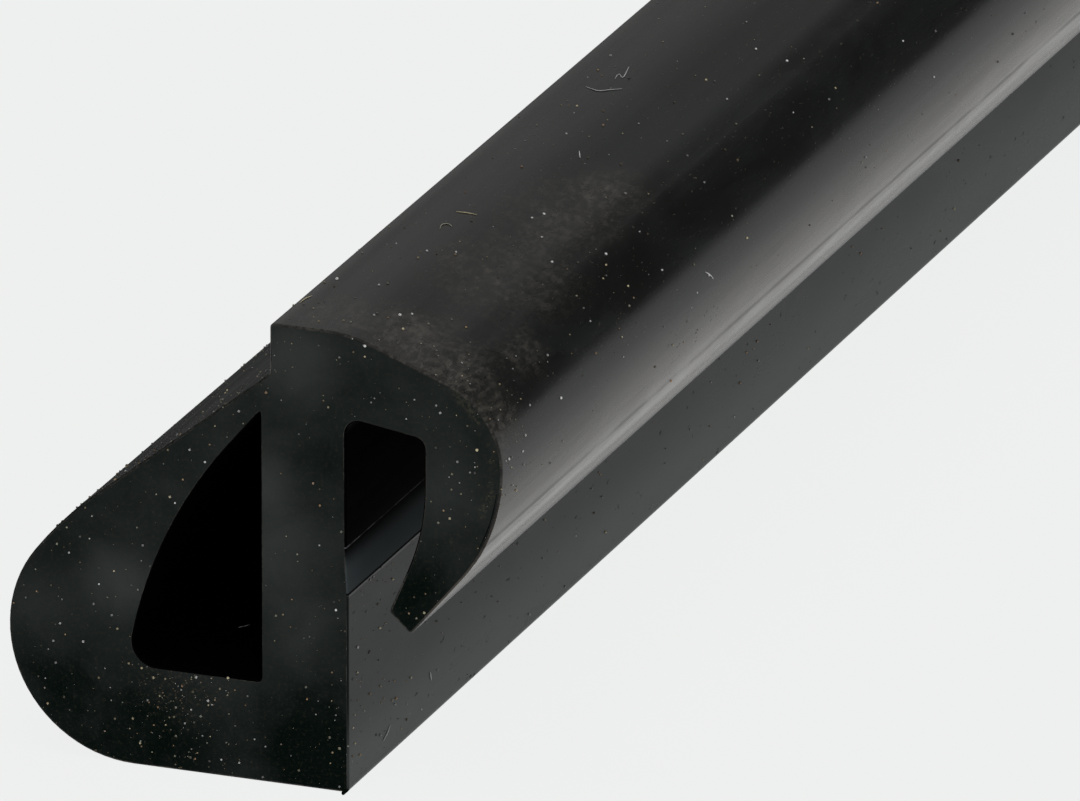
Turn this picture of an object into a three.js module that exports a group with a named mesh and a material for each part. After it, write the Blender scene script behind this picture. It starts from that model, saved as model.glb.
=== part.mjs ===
// Edge trim seal: one length of extruded rubber profile, lying on its flat foot.
// A thick web stands between a hollow bulb, which does the sealing, and a hooked lip.
// The web and the lip leave a slot between them that grips the edge of a panel.
// Units are millimetres. +X points to the lip's side, +Y runs along the length, +Z is up.

import * as THREE from "three";

// Overall size
const LENGTH = 1000;
const HEIGHT = 27;

// Web and the neck above the bulb
const WEB_THICKNESS = 5.2;
const NECK_THICKNESS = 4.6;
const NECK_HEIGHT = 2.95;
const EDGE_RADIUS = 0.25;

// Shallow step in the web's face, which leaves the web a little thinner inside the slot
const STEP_DEPTH = 0.12;
const STEP_FOOT_HEIGHT = 11.6;
const STEP_RISE = 2.8;

// Slot for the panel's edge
const SLOT_WIDTH = 4.62;
const SLOT_ROOF_FALL = 8.8;
const SLOT_WEB_RADIUS = 0.8;
const SLOT_LIP_RADIUS = 0.6;

// Crown over the slot, and the lip that hooks down from it
const CROWN_THICKNESS = 5.0;
const CROWN_FALL = 20.8;
const CROWN_RADIUS = 8;
const LIP_THICKNESS = 4.6;
const LIP_SHOULDER_RADIUS = 5.6;
const LIP_BACK_ANGLE = 50;
const LIP_BACK_RADIUS = 11;
const LIP_BELLY_ANGLE = 67;
const LIP_BELLY_RADIUS = 12.8;
const LIP_END_THICKNESS = 1.75;
const LIP_END_ANGLE = 43;
const LIP_END_RADIUS = 0.25;
const MOUTH_GAP = 2.4;
const MOUTH_HEIGHT = 11;

// Bulb on the other side of the web
const BULB_REACH = 15;
const BULB_RADIUS = 7.4;
const BULB_SHOULDER_ANGLE = 52;
const BULB_SHOULDER_RADIUS = 22;
const BULB_FLANK_ANGLE = 38.9;

// Hollow inside the bulb
const FOOT_THICKNESS = 5.95;
const BULB_WALL = 7.4;
const FLANK_WALL = 1.45;
const HOLLOW_TOP_ANGLE = 50;
const HOLLOW_SIDE_ANGLE = 78;
const HOLLOW_SIDE_RADIUS = 27;
const HOLLOW_CORNER_RADIUS = 1.4;
const HOLLOW_HEEL_RADIUS = 0.2;

// Largest distance between a round stretch and its chords, and the fewest chords that it gets
const ARC_TOLERANCE = 0.006;
const ARC_FEWEST = 3;

const COLOUR = 0x1e2120;
const ROUGHNESS = 0.82;

const radians = THREE.MathUtils.degToRad;
const tangent = (degrees) => Math.tan(radians(degrees));

// A point of the section: x across it, y up it, from the corner of the web's foot under the slot.
const at = (x, y) => new THREE.Vector2(x, y);

// The point that lies a given distance from another, in a direction given in degrees.
function along(start, degrees, distance) {
  return at(
    start.x + distance * Math.cos(radians(degrees)),
    start.y + distance * Math.sin(radians(degrees)),
  );
}

// The point where two straight sides meet, each given by a point and its slope in degrees.
function meet(a, slopeA, b, slopeB) {
  const x = (b.y - a.y + a.x * tangent(slopeA) - b.x * tangent(slopeB)) / (tangent(slopeA) - tangent(slopeB));
  return at(x, a.y + (x - a.x) * tangent(slopeA));
}

// A corner of an outline: the point where its two sides would meet, and the radius that rounds it.
const corner = (point, radius = 0) => ({ point, radius });

// The length that each corner's rounding takes from both of its sides, limited by those sides.
function roundingLengths(corners) {
  const count = corners.length;
  const wanted = corners.map(({ point, radius }, i) => {
    const before = corners[(i + count - 1) % count].point.clone().sub(point);
    const after = corners[(i + 1) % count].point.clone().sub(point);
    return radius / Math.tan(before.angleTo(after) / 2);
  });
  return wanted.map((length, i) => {
    const shares = [i + count - 1, i + 1].map((j) => {
      const side = corners[j % count].point.distanceTo(corners[i].point);
      const both = length + wanted[j % count];
      return both > side ? (length * side) / both : length;
    });
    return Math.min(...shares);
  });
}

// The points of a closed outline with its corners rounded by true arcs.
function roundedOutline(corners) {
  const count = corners.length;
  const lengths = roundingLengths(corners);
  const points = [];
  corners.forEach(({ point }, i) => {
    if (lengths[i] === 0) {
      points.push(point);
      return;
    }
    const before = corners[(i + count - 1) % count].point.clone().sub(point).normalize();
    const after = corners[(i + 1) % count].point.clone().sub(point).normalize();
    const half = before.angleTo(after) / 2;
    const radius = lengths[i] * Math.tan(half);
    const middle = before.clone().add(after).normalize();
    const centre = point.clone().addScaledVector(middle, radius / Math.sin(half));
    const start = point.clone().addScaledVector(before, lengths[i]).sub(centre);
    const turn = (Math.PI - 2 * half) * -Math.sign(before.cross(after));
    const finest = 2 * Math.acos(1 - ARC_TOLERANCE / radius);
    const steps = Math.max(ARC_FEWEST, Math.ceil(Math.abs(turn) / finest));
    for (let step = 0; step <= steps; step += 1) {
      points.push(start.clone().rotateAround(at(0, 0), (turn * step) / steps).add(centre));
    }
  });
  return points;
}

// The bulb's upper flank leaves the neck at its root and meets the round part at a soft shoulder.
const neckRoot = at(-NECK_THICKNESS, HEIGHT - NECK_HEIGHT);
const bulbEdge = -WEB_THICKNESS - BULB_REACH;
const bulbCentre = at(bulbEdge + BULB_RADIUS, BULB_RADIUS);
const shoulderTouch = along(bulbCentre, 90 + BULB_SHOULDER_ANGLE, BULB_RADIUS);
const shoulder = meet(shoulderTouch, BULB_SHOULDER_ANGLE, neckRoot, BULB_FLANK_ANGLE);
const bulbToe = meet(shoulderTouch, BULB_SHOULDER_ANGLE, at(0, 0), 0);

// The slot runs up between the web and the lip, and its roof falls a little towards the lip.
const slotRoof = at(-STEP_DEPTH, HEIGHT - CROWN_THICKNESS);
const slotShoulder = at(slotRoof.x + SLOT_WIDTH, slotRoof.y - SLOT_WIDTH * tangent(SLOT_ROOF_FALL));
const lipInnerEnd = at(MOUTH_GAP, MOUTH_HEIGHT);
const lipBelly = meet(lipInnerEnd, LIP_BELLY_ANGLE, slotShoulder, 90);
const lipOuterEnd = along(lipInnerEnd, -LIP_END_ANGLE, LIP_END_THICKNESS);
const lipBack = at(slotShoulder.x + LIP_THICKNESS, 0);
lipBack.y = lipOuterEnd.y + (lipBack.x - lipOuterEnd.x) * tangent(LIP_BACK_ANGLE);

// The crown is flat over the web, and falls away towards the lip from the web's panel face on.
const crownBreak = at(0, HEIGHT);
const lipShoulder = at(lipBack.x, HEIGHT - lipBack.x * tangent(CROWN_FALL));

function sectionOutline() {
  return roundedOutline([
    corner(at(0, 0), EDGE_RADIUS),
    corner(at(0, STEP_FOOT_HEIGHT)),
    corner(at(slotRoof.x, STEP_FOOT_HEIGHT + STEP_RISE)),
    corner(slotRoof, SLOT_WEB_RADIUS),
    corner(slotShoulder, SLOT_LIP_RADIUS),
    corner(lipBelly, LIP_BELLY_RADIUS),
    corner(lipInnerEnd, LIP_END_RADIUS),
    corner(lipOuterEnd, LIP_END_RADIUS),
    corner(lipBack, LIP_BACK_RADIUS),
    corner(lipShoulder, LIP_SHOULDER_RADIUS),
    corner(crownBreak, CROWN_RADIUS),
    corner(at(-NECK_THICKNESS, HEIGHT), EDGE_RADIUS),
    corner(neckRoot, EDGE_RADIUS),
    corner(shoulder, BULB_SHOULDER_RADIUS),
    corner(bulbToe, BULB_RADIUS),
  ]);
}

// The hollow is a leaning drop: its straight side is the web, and its sharp top ends by the neck.
function hollowOutline() {
  const flankAboveWeb = neckRoot.y - (WEB_THICKNESS - NECK_THICKNESS) * tangent(BULB_FLANK_ANGLE);
  const drop = FLANK_WALL / Math.cos(radians(BULB_FLANK_ANGLE));
  const apex = at(-WEB_THICKNESS, flankAboveWeb - drop);
  const heel = at(-WEB_THICKNESS, FOOT_THICKNESS);
  const cornerReach = HOLLOW_CORNER_RADIUS - HOLLOW_CORNER_RADIUS / tangent(HOLLOW_SIDE_ANGLE / 2);
  const toe = at(bulbEdge + BULB_WALL + cornerReach, FOOT_THICKNESS);
  const knee = meet(apex, HOLLOW_TOP_ANGLE, toe, HOLLOW_SIDE_ANGLE);
  return roundedOutline([
    corner(apex),
    corner(knee, HOLLOW_SIDE_RADIUS),
    corner(toe, HOLLOW_CORNER_RADIUS),
    corner(heel, HOLLOW_HEEL_RADIUS),
  ]);
}

// The profile is one extrusion, cut square at both ends and centred on the middle of its foot's plane.
function buildProfile() {
  const section = new THREE.Shape(sectionOutline());
  section.holes.push(new THREE.Path(hollowOutline()));
  const geometry = new THREE.ExtrudeGeometry(section, { depth: LENGTH, steps: 1, bevelEnabled: false });
  const material = new THREE.MeshStandardMaterial({
    color: COLOUR,
    roughness: ROUGHNESS,
    metalness: 0,
  });
  const profile = new THREE.Mesh(geometry, material);
  profile.name = "edge_trim_seal";
  profile.rotation.x = Math.PI / 2;
  profile.position.set(-(bulbEdge + lipBack.x) / 2, LENGTH / 2, 0);
  return profile;
}

const group = new THREE.Group();
group.add(buildProfile());

export default group;
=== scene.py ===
# %% [markdown]
# # A black rubber edge trim, cut from the coil
# The part is one metre of extruded rubber: a web that stands on a panel's edge, a hollow bulb
# on its left that is squeezed by a door or a lid, and a lip on its right that grips the panel.
# The solid from the CAD step is fixed, and this scene gives it the skin, the two knife cuts,
# the dust and the light of the photograph. All lengths are in metres.

# %% Load the solid
import math

import bmesh
import bpy
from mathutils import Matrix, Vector
from mathutils.bvhtree import BVHTree


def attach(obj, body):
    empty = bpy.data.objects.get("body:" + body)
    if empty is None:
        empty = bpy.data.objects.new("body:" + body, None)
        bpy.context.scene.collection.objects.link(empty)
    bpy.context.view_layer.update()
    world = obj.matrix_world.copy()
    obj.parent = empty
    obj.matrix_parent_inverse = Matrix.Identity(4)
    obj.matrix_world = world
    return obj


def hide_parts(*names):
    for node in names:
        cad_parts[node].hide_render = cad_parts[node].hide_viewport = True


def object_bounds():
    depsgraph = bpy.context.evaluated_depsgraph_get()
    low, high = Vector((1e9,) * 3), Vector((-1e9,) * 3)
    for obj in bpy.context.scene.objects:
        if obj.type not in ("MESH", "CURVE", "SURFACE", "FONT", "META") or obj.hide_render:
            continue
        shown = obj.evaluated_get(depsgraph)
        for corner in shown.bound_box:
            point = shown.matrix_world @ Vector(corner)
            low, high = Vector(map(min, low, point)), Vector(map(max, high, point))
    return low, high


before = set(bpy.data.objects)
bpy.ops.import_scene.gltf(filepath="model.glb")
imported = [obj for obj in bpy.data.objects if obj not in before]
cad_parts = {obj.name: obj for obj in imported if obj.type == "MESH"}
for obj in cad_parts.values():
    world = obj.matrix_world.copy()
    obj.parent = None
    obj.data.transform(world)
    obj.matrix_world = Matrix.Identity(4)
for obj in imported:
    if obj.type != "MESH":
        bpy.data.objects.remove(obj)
cad_box = [list(corner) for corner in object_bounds()]
MM = 0.001

# %% [markdown]
# ## The camera
# The photograph looks down on the front cut from its right, through a long lens, so the far
# edges stay almost parallel. The lens, the distance and the two angles were fitted to the
# corners of the cut and to the long edges. The camera looks at one point of the stock near
# the cut, which is the middle of the picture.

# %% Camera
CAMERA_AZIMUTH = math.radians(20.8)
CAMERA_ELEVATION = math.radians(19.7)
CAMERA_DISTANCE = 1.32
CAMERA_TARGET = Vector((1.67 * MM, -460.0 * MM, 9.19 * MM))
CAMERA_LENS = 775.5
SENSOR_WIDTH = 36.0
FAR_CLIP = 50.0

to_camera = Vector((
    math.sin(CAMERA_AZIMUTH) * math.cos(CAMERA_ELEVATION),
    -math.cos(CAMERA_AZIMUTH) * math.cos(CAMERA_ELEVATION),
    math.sin(CAMERA_ELEVATION),
))
camera_data = bpy.data.cameras.new("camera")
camera_data.sensor_width = SENSOR_WIDTH
camera_data.sensor_fit = "HORIZONTAL"
camera_data.lens = CAMERA_LENS
camera_data.clip_end = FAR_CLIP
camera = bpy.data.objects.new("camera", camera_data)
camera.location = CAMERA_TARGET + to_camera * CAMERA_DISTANCE
camera.rotation_euler = (-to_camera).to_track_quat("-Z", "Y").to_euler()
bpy.context.scene.collection.objects.link(camera)
bpy.context.scene.camera = camera
print("camera at", [round(v, 3) for v in camera.location])

# %% [markdown]
# ## From a pixel to the rubber
# Some marks have one place of their own: a hair, a bright grain, a patch of haze. Their
# coordinates could be guessed, but a ray finds them: it goes from the camera through the pixel
# where the photograph shows the mark, and the mark is set where the ray meets the solid.

# %% From a pixel to the rubber
PICTURE_WIDTH, PICTURE_HEIGHT = 1080, 801
CROWN_CORNER_PIXEL = (280, 326)
solid = bpy.data.objects["edge_trim_seal"]
solid_surface = BVHTree.FromObject(solid, bpy.context.evaluated_depsgraph_get())
sideways = Vector((math.cos(CAMERA_AZIMUTH), math.sin(CAMERA_AZIMUTH), 0.0))
upwards = to_camera.cross(sideways)


def on_rubber(column, row):
    """The point of the rubber that the photograph shows at a pixel, and its normal."""
    focal = CAMERA_LENS / SENSOR_WIDTH * PICTURE_WIDTH
    ray = -to_camera * focal
    ray += sideways * (column - PICTURE_WIDTH / 2) + upwards * (PICTURE_HEIGHT / 2 - row)
    point, normal, _, _ = solid_surface.ray_cast(camera.location, ray.normalized())
    return point, normal


print("the crown's corner, in mm:", [round(v / MM, 2) for v in on_rubber(*CROWN_CORNER_PIXEL)[0]])

# %% [markdown]
# ## Helpers for node trees
# Every material and every Geometry Nodes tree below is a list of nodes with values or links
# on their inputs. One helper adds a node and fills its inputs. The others stand for the nodes
# that come back again and again, such as a sum, a product or a ramp, so that each step of a
# tree reads as one line.

# %% Node helpers
def add_node(tree, kind, inputs=None, **settings):
    """A new node. Each input takes a number, a colour or another node's output."""
    node = tree.nodes.new(kind)
    for name, value in settings.items():
        setattr(node, name, value)
    for key, value in (inputs or {}).items():
        if isinstance(value, bpy.types.NodeSocket):
            tree.links.new(value, node.inputs[key])
        else:
            node.inputs[key].default_value = value
    return node


def output_of(tree, kind, inputs=None, **settings):
    """The first output of a new node."""
    return add_node(tree, kind, inputs, **settings).outputs[0]


def maths(tree, operation, first, second=0.0, clamp=False):
    """The output of one Math node, for a material or a Geometry Nodes tree."""
    inputs = {0: first, 1: second}
    return output_of(tree, "ShaderNodeMath", inputs, operation=operation, use_clamp=clamp)


def times(tree, first, second, clamp=False):
    """The product of two values."""
    return maths(tree, "MULTIPLY", first, second, clamp)


def minus(tree, first, second, clamp=False):
    """The first value less the second."""
    return maths(tree, "SUBTRACT", first, second, clamp)


def total(tree, *values):
    """The sum of several values."""
    result = values[0]
    for value in values[1:]:
        result = maths(tree, "ADD", result, value)
    return result


def unsigned(tree, value):
    """A value without its sign."""
    return maths(tree, "ABSOLUTE", value)


def ramp(tree, value, low, high, to_low=0.0, to_high=1.0, kind="SMOOTHSTEP"):
    """A value between low and high, spread over another range and held at its ends."""
    node = add_node(tree, "ShaderNodeMapRange", {
        "Value": value, "From Min": low, "From Max": high, "To Min": to_low, "To Max": to_high,
    }, interpolation_type=kind)
    return node.outputs["Result"]


def split(tree, coordinates):
    """The X, Y and Z of a place or a direction, found by their letters."""
    return add_node(tree, "ShaderNodeSeparateXYZ", {0: coordinates}).outputs


def distance(tree, here, there):
    """How far two places are from each other."""
    node = add_node(tree, "ShaderNodeVectorMath", {0: here, 1: there}, operation="DISTANCE")
    return node.outputs["Value"]


node_helpers = (add_node, output_of, maths, times, minus, total, unsigned, ramp, split, distance)
print("node helpers:", [helper.__name__ for helper in node_helpers])

# %% Helpers for Geometry Nodes
def marked(tree, label):
    """The number that a named attribute holds for each point or face."""
    inputs = {"Name": label}
    node = add_node(tree, "GeometryNodeInputNamedAttribute", inputs, data_type="FLOAT")
    return node.outputs["Attribute"]


def with_mark(tree, geometry, label, value, domain="POINT"):
    """The geometry with a number kept on it under a name."""
    return output_of(tree, "GeometryNodeStoreNamedAttribute", {
        "Geometry": geometry, "Name": label, "Value": value,
    }, data_type="FLOAT", domain=domain)


def coated(tree, geometry, material, chosen=True):
    """The geometry with a material on its chosen faces."""
    return output_of(tree, "GeometryNodeSetMaterial", {
        "Geometry": geometry, "Selection": chosen, "Material": material,
    })


def end_tree(tree, result, geometry, material):
    """The end of a tree: its instances become real geometry, with a material."""
    real = output_of(tree, "GeometryNodeRealizeInstances", {"Geometry": geometry})
    tree.links.new(coated(tree, real, material), result.inputs[0])


def new_tree(name, inputs):
    """A Geometry Nodes tree with its named inputs: (name, socket type, default value)."""
    tree = bpy.data.node_groups.new(name, "GeometryNodeTree")
    tree.interface.new_socket("Geometry", in_out="OUTPUT", socket_type="NodeSocketGeometry")
    tree.interface.new_socket("Geometry", in_out="INPUT", socket_type="NodeSocketGeometry")
    for label, kind, value in inputs:
        socket = tree.interface.new_socket(label, in_out="INPUT", socket_type=kind)
        if value is not None:
            socket.default_value = value
    return tree, tree.nodes.new("NodeGroupInput").outputs, tree.nodes.new("NodeGroupOutput")


def grown_mesh(name, start, tree, values):
    """Runs a tree on a mesh and keeps the result as a plain mesh object, with no modifier."""
    carrier = bpy.data.objects.new(name + "_start", start)
    bpy.context.scene.collection.objects.link(carrier)
    modifier = carrier.modifiers.new("grow", "NODES")
    modifier.node_group = tree
    for item in tree.interface.items_tree:
        if item.in_out == "INPUT" and item.name in values:
            modifier[item.identifier] = values[item.name]
    bpy.context.view_layer.update()
    evaluated = carrier.evaluated_get(bpy.context.evaluated_depsgraph_get())
    mesh = bpy.data.meshes.new_from_object(evaluated)
    bpy.data.objects.remove(carrier)
    mesh.name = name
    piece = bpy.data.objects.new(name, mesh)
    bpy.context.scene.collection.objects.link(piece)
    return piece


tree_helpers = (marked, with_mark, coated, end_tree, new_tree, grown_mesh)
print("tree helpers:", [helper.__name__ for helper in tree_helpers])

# %% [markdown]
# ## The section
# An extrusion is one outline pulled along a line. The outline is already in the solid: it is
# the rim of its front cut, one loop round the outside and one round the bulb's hollow. The
# loops are read from a merged copy, because the solid's own mesh is loose triangles. A point
# close to each end of a long flat keeps the shading of the rounded corners off the flats.

# %% Outline of the front cut
LONG_FLAT = 1.6 * MM
CORNER_GUARD = 0.12 * MM
SAME_POINT = 1e-7
SAME_PLANE = 1e-6


def cut_loops(solid):
    """The rims of the front cut, as lists of points in order."""
    merged = bmesh.new()
    merged.from_mesh(solid.data)
    bmesh.ops.remove_doubles(merged, verts=merged.verts, dist=SAME_POINT)
    front = min(vertex.co.y for vertex in merged.verts)
    neighbours = {}
    for edge in merged.edges:
        on_cut = all(abs(vertex.co.y - front) < SAME_PLANE for vertex in edge.verts)
        on_wall = any(abs(face.normal.y) < 0.5 for face in edge.link_faces)
        if on_cut and on_wall:
            one, other = (vertex.index for vertex in edge.verts)
            neighbours.setdefault(one, []).append(other)
            neighbours.setdefault(other, []).append(one)
    places = {vertex.index: (vertex.co.x, vertex.co.z) for vertex in merged.verts}
    merged.free()
    loops = []
    left = set(neighbours)
    while left:
        loop = [min(left)]
        left.discard(loop[0])
        while True:
            following = [index for index in neighbours[loop[-1]] if index in left]
            if not following:
                break
            loop.append(following[0])
            left.discard(following[0])
        loops.append([Vector(places[index]) for index in loop])
    return sorted(loops, key=lambda points: -abs(loop_area(points)))


def loop_area(points):
    """The signed area of a closed loop, positive when it runs anticlockwise."""
    pairs = zip(points, points[1:] + points[:1])
    return 0.5 * sum(a.x * b.y - b.x * a.y for a, b in pairs)


def guarded(points):
    """The loop with a point close to each end of its long flats."""
    result = []
    for here, after in zip(points, points[1:] + points[:1]):
        result.append(here)
        length = (after - here).length
        if length > LONG_FLAT:
            step = (after - here) * (CORNER_GUARD / length)
            result += [here + step, after - step]
    return result


outer_loop, hollow_loop = cut_loops(solid)
if loop_area(outer_loop) > 0:
    outer_loop.reverse()
if loop_area(hollow_loop) < 0:
    hollow_loop.reverse()
print("outline points:", len(outer_loop), "outside and", len(hollow_loop), "in the hollow")

# %% Outline as a mesh of edges
SLOT_LEFT, SLOT_RIGHT = 5.3 * MM, 10.2 * MM
SLOT_LOW, SLOT_HIGH = 11.55 * MM, 22.1 * MM
BULB_RIGHT, BULB_TOP, BULB_LOW = 0.9 * MM, 24.3 * MM, 0.3 * MM
WEB_FACE_LEFT, WEB_FACE_RIGHT = 5.45 * MM, 5.65 * MM


# points marked here get the rubber of the shade, a darker copy of the skin: painted shade
def sheltered(point):
    """1 for a point of the outside loop that lies deep in the slot, 0 elsewhere."""
    across = SLOT_LEFT < point.x < SLOT_RIGHT
    return float(across and SLOT_LOW < point.y < SLOT_HIGH)


def on_bulb(point):
    """1 for a point of the outside loop on the bulb's own skin, 0 elsewhere."""
    return float(point.x < BULB_RIGHT and BULB_LOW < point.y < BULB_TOP)


def on_web_face(point):
    """1 for a point of the outside loop on the web's open face below the slot, 0 elsewhere."""
    return float(WEB_FACE_LEFT < point.x < WEB_FACE_RIGHT and point.y < SLOT_LOW)


section_points, section_edges, section_marks, bulb_marks, web_marks = [], [], [], [], []
for loop, hollow in ((guarded(outer_loop), False), (guarded(hollow_loop), True)):
    first = len(section_points)
    count = len(loop)
    section_points += [(point.x, 0.0, point.y) for point in loop]
    section_edges += [(first + n, first + (n + 1) % count) for n in range(count)]
    section_marks += [1.0 if hollow else sheltered(point) for point in loop]
    bulb_marks += [0.0 if hollow else on_bulb(point) for point in loop]
    web_marks += [0.0 if hollow else on_web_face(point) for point in loop]
section = bpy.data.meshes.new("section")
section.from_pydata(section_points, section_edges, [])
for label, marks in (("sheltered", section_marks), ("bulb", bulb_marks), ("web", web_marks)):
    section.attributes.new(label, "FLOAT", "POINT").data.foreach_set("value", marks)
print("section:", len(section_points), "points")

# %% [markdown]
# ## Materials of the rubber
# Cured rubber of this kind is a black filled with soot, under a thin grey bloom. It gets five
# node materials: the crown and the lip, the web's face, the bulb, the knife cut, and the shade
# of the hollow and the slot. An image could be laid on the skin, but noise has no seams and
# keeps its sharpness over the whole metre. Noise that is stretched along the length gives the
# lines of the die, and noise at three sizes gives the grain, the bloom and the dust that is
# too fine to model.

# %% Helpers for the materials
HALF_LENGTH = 0.5
FRONT_CUT = -HALF_LENGTH
RIM_EDGE = 0.02 * MM
SOLID_CORE = 0.1


def shader(name):
    """A new material: its tree, its Principled node and its Object coordinates."""
    material = bpy.data.materials.new(name)
    material.use_nodes = True
    tree = material.node_tree
    surface = tree.nodes["Principled BSDF"]
    place = tree.nodes.new("ShaderNodeTexCoord").outputs["Object"]
    return material, tree, surface, place


def stretched(tree, coordinates, along):
    """Object coordinates squeezed along the length, so that a noise becomes long streaks."""
    squeeze = {"Vector": coordinates, "Scale": (1.0, along, 1.0)}
    return output_of(tree, "ShaderNodeMapping", squeeze)


def noise(tree, coordinates, scale, detail=3.0, roughness=0.55, distortion=0.0):
    """The strength of a noise of about 1 / scale metres."""
    return output_of(tree, "ShaderNodeTexNoise", {
        "Vector": coordinates, "Scale": scale, "Detail": detail,
        "Roughness": roughness, "Distortion": distortion,
    })


def blend(tree, amount, first, second):
    """A colour between two others."""
    node = add_node(tree, "ShaderNodeMix", {0: amount, 6: first, 7: second}, data_type="RGBA")
    return node.outputs[2]


def near(tree, coordinates, centre, size, along=1.0):
    """1 at a point and 0 beyond a distance of it, with soft edges, drawn out along the length."""
    centre = (centre[0], centre[1] * along, centre[2])
    away = distance(tree, stretched(tree, coordinates, along), centre)
    return ramp(tree, away, size, SOLID_CORE * size)


def cut_rim(tree, place, reach):
    """1 at the rim of either cut and 0 deeper than a reach along the stock."""
    depth = minus(tree, HALF_LENGTH, unsigned(tree, split(tree, place)["Y"]))
    return ramp(tree, depth, reach, RIM_EDGE)


def finish_surface(tree, surface, colour, roughness, specular):
    """Gives a surface its colour, its roughness and the strength of its reflections."""
    tree.links.new(colour, surface.inputs["Base Color"])
    tree.links.new(roughness, surface.inputs["Roughness"])
    surface.inputs["Specular IOR Level"].default_value = specular


def add_relief(tree, surface, height, strength, depth, **under):
    """Gives a surface a bump from a height of 0 to 1, as deep as a length at full strength."""
    inputs = {"Height": height, "Strength": strength, "Distance": depth, **under}
    tree.links.new(output_of(tree, "ShaderNodeBump", inputs), surface.inputs["Normal"])


print("the front cut is at y =", FRONT_CUT)

# %% [markdown]
# ## Skin of the crown and the lip
# The skin that the photograph shows best. It has a soft gloss that mirrors the lights only at
# a low angle, an edge that lids have rubbed grey, with a painted highlight along it, and a
# chalky lip with a painted reflection in its bloom and a line that the die has drawn in it.
# Near the cut, hands have left a brown haze. Each of these is one blend over the black, at the
# place that the photograph shows.

# %% Skin of the crown and the lip: its numbers
DEEP_BLACK, GREY_BLOOM = (0.0095, 0.0098, 0.0092, 1.0), (0.0150, 0.0172, 0.0160, 1.0)
# the worn grey is partly wear and partly a painted highlight along the crown's edge
WORN_AND_HIGHLIT_GREY, CHALK_AND_SHEEN = (0.068, 0.069, 0.065, 1.0), (0.086, 0.072, 0.062, 1.0)
LINE_BLACK, FLECK_BROWN = (0.012, 0.011, 0.010, 1.0), (0.012, 0.009, 0.007, 1.0)
FILM = (0.100, 0.092, 0.081, 1.0)
# ramps over the section: from, to, and where two more are given, the values at both
WIDE_WEAR_AND_HIGHLIGHT, NARROW_WEAR_AND_HIGHLIGHT = (4.5 * MM, 0.9 * MM, 0.0, 0.2), (2.0 * MM, 0.8 * MM, 0.0, 1.3)
CROWN_ABOVE = (25.0 * MM, 26.8 * MM)
BACK_BELOW, BACK_RIGHT_OF = (20.5 * MM, 16.5 * MM), (9.6 * MM, 10.4 * MM)
WEAKER_NEAR_CUT = (0.46, 0.497, 1.0, 0.72)
DIE_LINE_PIXEL, DIE_LINE_WIDTH = (683, 369), 0.38 * MM
FLECK_PIXEL, FLECK_REACH = (690, 338), 2.6 * MM
RIM_DUST_REACH = 0.5 * MM
# the middle of each patch of haze, as a pixel of the photograph, and its reach in mm
HAZE_PATCHES = (
    (505, 275, 5.5), (560, 215, 4.5), (430, 345, 4.0), (335, 315, 3.0), (475, 400, 3.5),
    (395, 330, 3.0), (520, 350, 2.5), (610, 190, 3.0), (455, 375, 3.0), (500, 430, 2.5),
)
print("the haze has", len(HAZE_PATCHES), "patches")

# %% Skin of the crown and the lip: rubber, wear and chalk
skin, tree, surface, place = shader("rubber_skin")
spot = split(tree, place)
streaks = noise(tree, stretched(tree, place, 0.012), 1500.0, 4.0, 0.6)
wide_streaks = noise(tree, stretched(tree, place, 0.006), 420.0, 3.0, 0.5)
grain = noise(tree, place, 5200.0, 2.0, 0.6)
bloom = noise(tree, stretched(tree, place, 0.35), 190.0, 5.0, 0.6, 0.6)
colour = blend(tree, ramp(tree, bloom, 0.38, 0.68), DEEP_BLACK, GREY_BLOOM)
# greyer along the crown's left edge: partly wear where hands and lids rub, and partly a
# painted highlight along the edge's rounding
edge = total(tree, ramp(tree, spot["X"], *WIDE_WEAR_AND_HIGHLIGHT), ramp(tree, spot["X"], *NARROW_WEAR_AND_HIGHLIGHT))
worn_and_highlit = times(tree, edge, ramp(tree, spot["Z"], *CROWN_ABOVE))
colour = blend(tree, times(tree, worn_and_highlit, 0.5), colour, WORN_AND_HIGHLIT_GREY)
# a warm chalky bloom on the lip's back, partly a painted reflection of the light that the
# lip's back mirrors, weaker towards the cuts
lip_back = times(tree, ramp(tree, spot["Z"], *BACK_BELOW), ramp(tree, spot["X"], *BACK_RIGHT_OF))
chalk_and_sheen = times(tree, lip_back, ramp(tree, wide_streaks, 0.2, 0.7, 0.55, 1.0))
chalk_and_sheen = times(tree, chalk_and_sheen, ramp(tree, unsigned(tree, spot["Y"]), *WEAKER_NEAR_CUT))
colour = blend(tree, chalk_and_sheen, colour, CHALK_AND_SHEEN)
# one darker line that the die has drawn in the bloom
die_line = near(tree, place, on_rubber(*DIE_LINE_PIXEL)[0], DIE_LINE_WIDTH, 0.0)
die_line = times(tree, die_line, ramp(tree, bloom, 0.35, 0.6, 0.35, 1.0))
colour = blend(tree, times(tree, die_line, 0.6), colour, LINE_BLACK)
# small dark flecks that sit in a cluster
flecks = noise(tree, stretched(tree, place, 0.4), 3300.0, 2.0, 0.7)
flecked = near(tree, place, on_rubber(*FLECK_PIXEL)[0], FLECK_REACH, 0.35)
flecks = times(tree, ramp(tree, flecks, 0.64, 0.70), flecked)
colour = blend(tree, flecks, colour, FLECK_BROWN)
print("material:", skin.name)

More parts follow.
